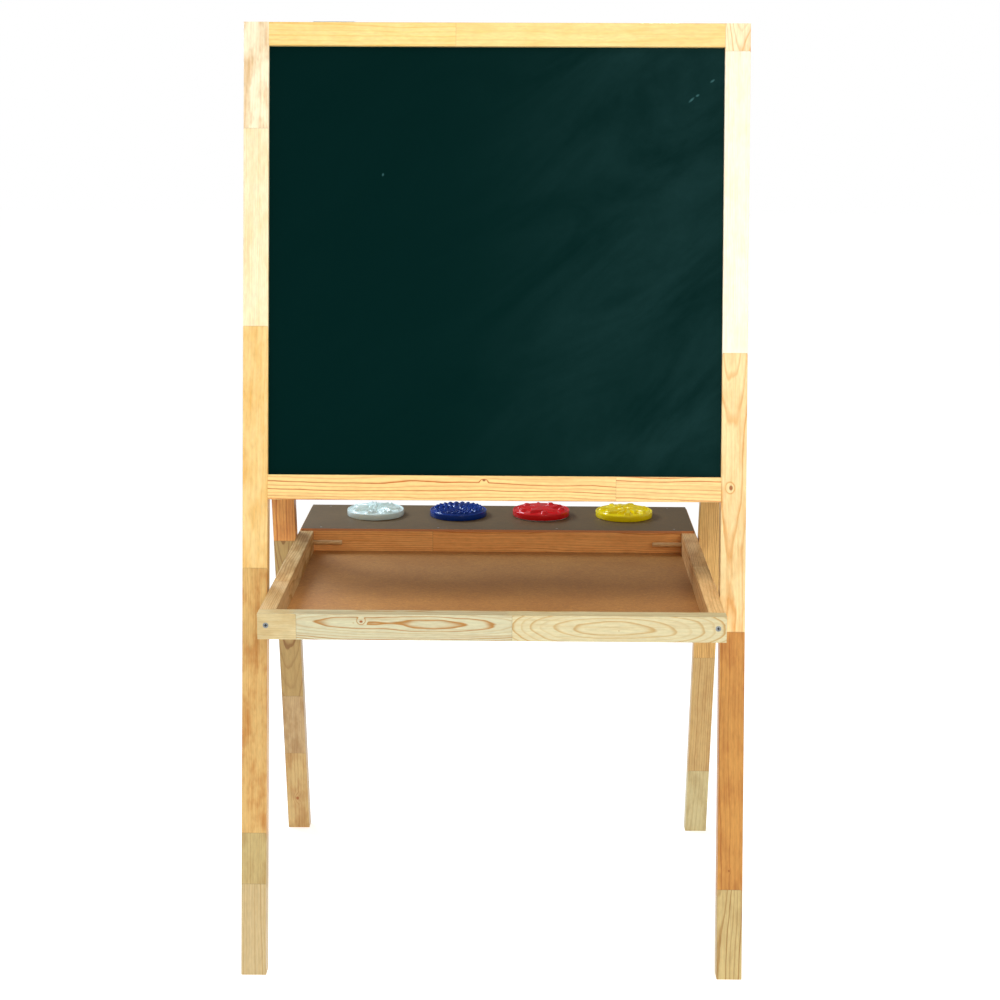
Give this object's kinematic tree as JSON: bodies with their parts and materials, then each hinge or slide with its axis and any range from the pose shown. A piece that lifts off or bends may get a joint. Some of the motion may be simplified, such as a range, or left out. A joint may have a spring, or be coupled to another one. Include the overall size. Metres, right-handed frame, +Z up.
{
  "type": "kids easel",
  "caption": "Folding wooden floor easel for children with a chalkboard, a drawing board, a tray between the legs and lidded paint cups.",
  "frame": {"origin": "on the floor, under the middle of the overall box", "axes": "+X to the right seen from the chalkboard side, +Y from the chalkboard towards the back, +Z up"},
  "size_m": [0.62, 0.5718, 1.1545],
  "materials": {
    "pine": "satin",
    "beech": "matte",
    "hardboard": "satin",
    "chalkboard_paint": "matte",
    "white_board": "gloss",
    "plated_steel": "satin",
    "black_steel": "satin",
    "brass": "satin",
    "clear_white_plastic": "satin",
    "white_plastic": "gloss",
    "blue_plastic": "gloss",
    "red_plastic": "gloss",
    "yellow_plastic": "gloss"
  },
  "bodies": {
    "front_frame": {"front_left_leg": "pine", "front_right_leg": "pine", "front_top_rail": "pine", "front_bottom_rail": "pine", "front_frame_dowels": "beech", "chalkboard": "chalkboard_paint", "left_hinge_front_leaf": "plated_steel", "left_hinge_pin": "plated_steel", "right_hinge_front_leaf": "plated_steel", "right_hinge_pin": "plated_steel", "front_hinge_screws": "plated_steel"},
    "rear_frame": {"rear_left_leg": "pine", "rear_right_leg": "pine", "rear_top_rail": "pine", "rear_bottom_rail": "pine", "rear_frame_dowels": "beech", "drawing_board": "white_board", "left_hinge_rear_leaf": "plated_steel", "right_hinge_rear_leaf": "plated_steel", "rear_hinge_screws": "plated_steel"},
    "tray": {"tray_front_rail": "pine", "tray_middle_rail": "pine", "tray_end_rail": "pine", "tray_left_rail": "pine", "tray_right_rail": "pine", "tray_floor": "hardboard", "cup_shelf": "hardboard", "tray_front_screws": "black_steel", "tray_side_screws": "black_steel", "shelf_nails": "plated_steel", "floor_nails": "plated_steel", "left_pivot_bolt": "plated_steel", "right_pivot_bolt": "plated_steel", "pivot_inserts": "brass", "pivot_washers": "plated_steel"},
    "left_peg": {"left_peg": "beech"},
    "right_peg": {"right_peg": "beech"},
    "white_cup": {"white_cup": "clear_white_plastic"},
    "white_lid": {"white_lid": "white_plastic"},
    "blue_cup": {"blue_cup": "clear_white_plastic"},
    "blue_lid": {"blue_lid": "blue_plastic"},
    "red_cup": {"red_cup": "clear_white_plastic"},
    "red_lid": {"red_lid": "red_plastic"},
    "yellow_cup": {"yellow_cup": "clear_white_plastic"},
    "yellow_lid": {"yellow_lid": "yellow_plastic"}
  },
  "joints": [
    {"name": "rear_frame_fold", "type": "hinge", "parent": "front_frame", "child": "rear_frame", "pos_m": [0, -0.0213, 1.152], "axis": [1, 0, 0], "range_deg": [-22, 0]},
    {"name": "tray_swing", "type": "hinge", "parent": "front_frame", "child": "tray", "pos_m": [0, -0.1682, 0.45525], "axis": [1, 0, 0], "range_deg": [-101, 0]},
    {"name": "left_peg_slide", "type": "slide", "parent": "tray", "child": "left_peg", "axis": [-1, 0, 0], "range_m": [0, 0.02]},
    {"name": "right_peg_slide", "type": "slide", "parent": "tray", "child": "right_peg", "axis": [1, 0, 0], "range_m": [0, 0.02]},
    {"name": "white_cup_lift", "type": "slide", "parent": "tray", "child": "white_cup", "axis": [0, 0, 1], "range_m": [0, 0.12]},
    {"name": "white_lid_lift", "type": "slide", "parent": "white_cup", "child": "white_lid", "axis": [0, 0, 1], "range_m": [0, 0.06]},
    {"name": "blue_cup_lift", "type": "slide", "parent": "tray", "child": "blue_cup", "axis": [0, 0, 1], "range_m": [0, 0.12]},
    {"name": "blue_lid_lift", "type": "slide", "parent": "blue_cup", "child": "blue_lid", "axis": [0, 0, 1], "range_m": [0, 0.06]},
    {"name": "red_cup_lift", "type": "slide", "parent": "tray", "child": "red_cup", "axis": [0, 0, 1], "range_m": [0, 0.12]},
    {"name": "red_lid_lift", "type": "slide", "parent": "red_cup", "child": "red_lid", "axis": [0, 0, 1], "range_m": [0, 0.06]},
    {"name": "yellow_cup_lift", "type": "slide", "parent": "tray", "child": "yellow_cup", "axis": [0, 0, 1], "range_m": [0, 0.12]},
    {"name": "yellow_lid_lift", "type": "slide", "parent": "yellow_cup", "child": "yellow_lid", "axis": [0, 0, 1], "range_m": [0, 0.06]}
  ],
  "couplings": [
    {"joint": "tray_swing", "follows": "rear_frame_fold", "ratio": 4.59}
  ]
}
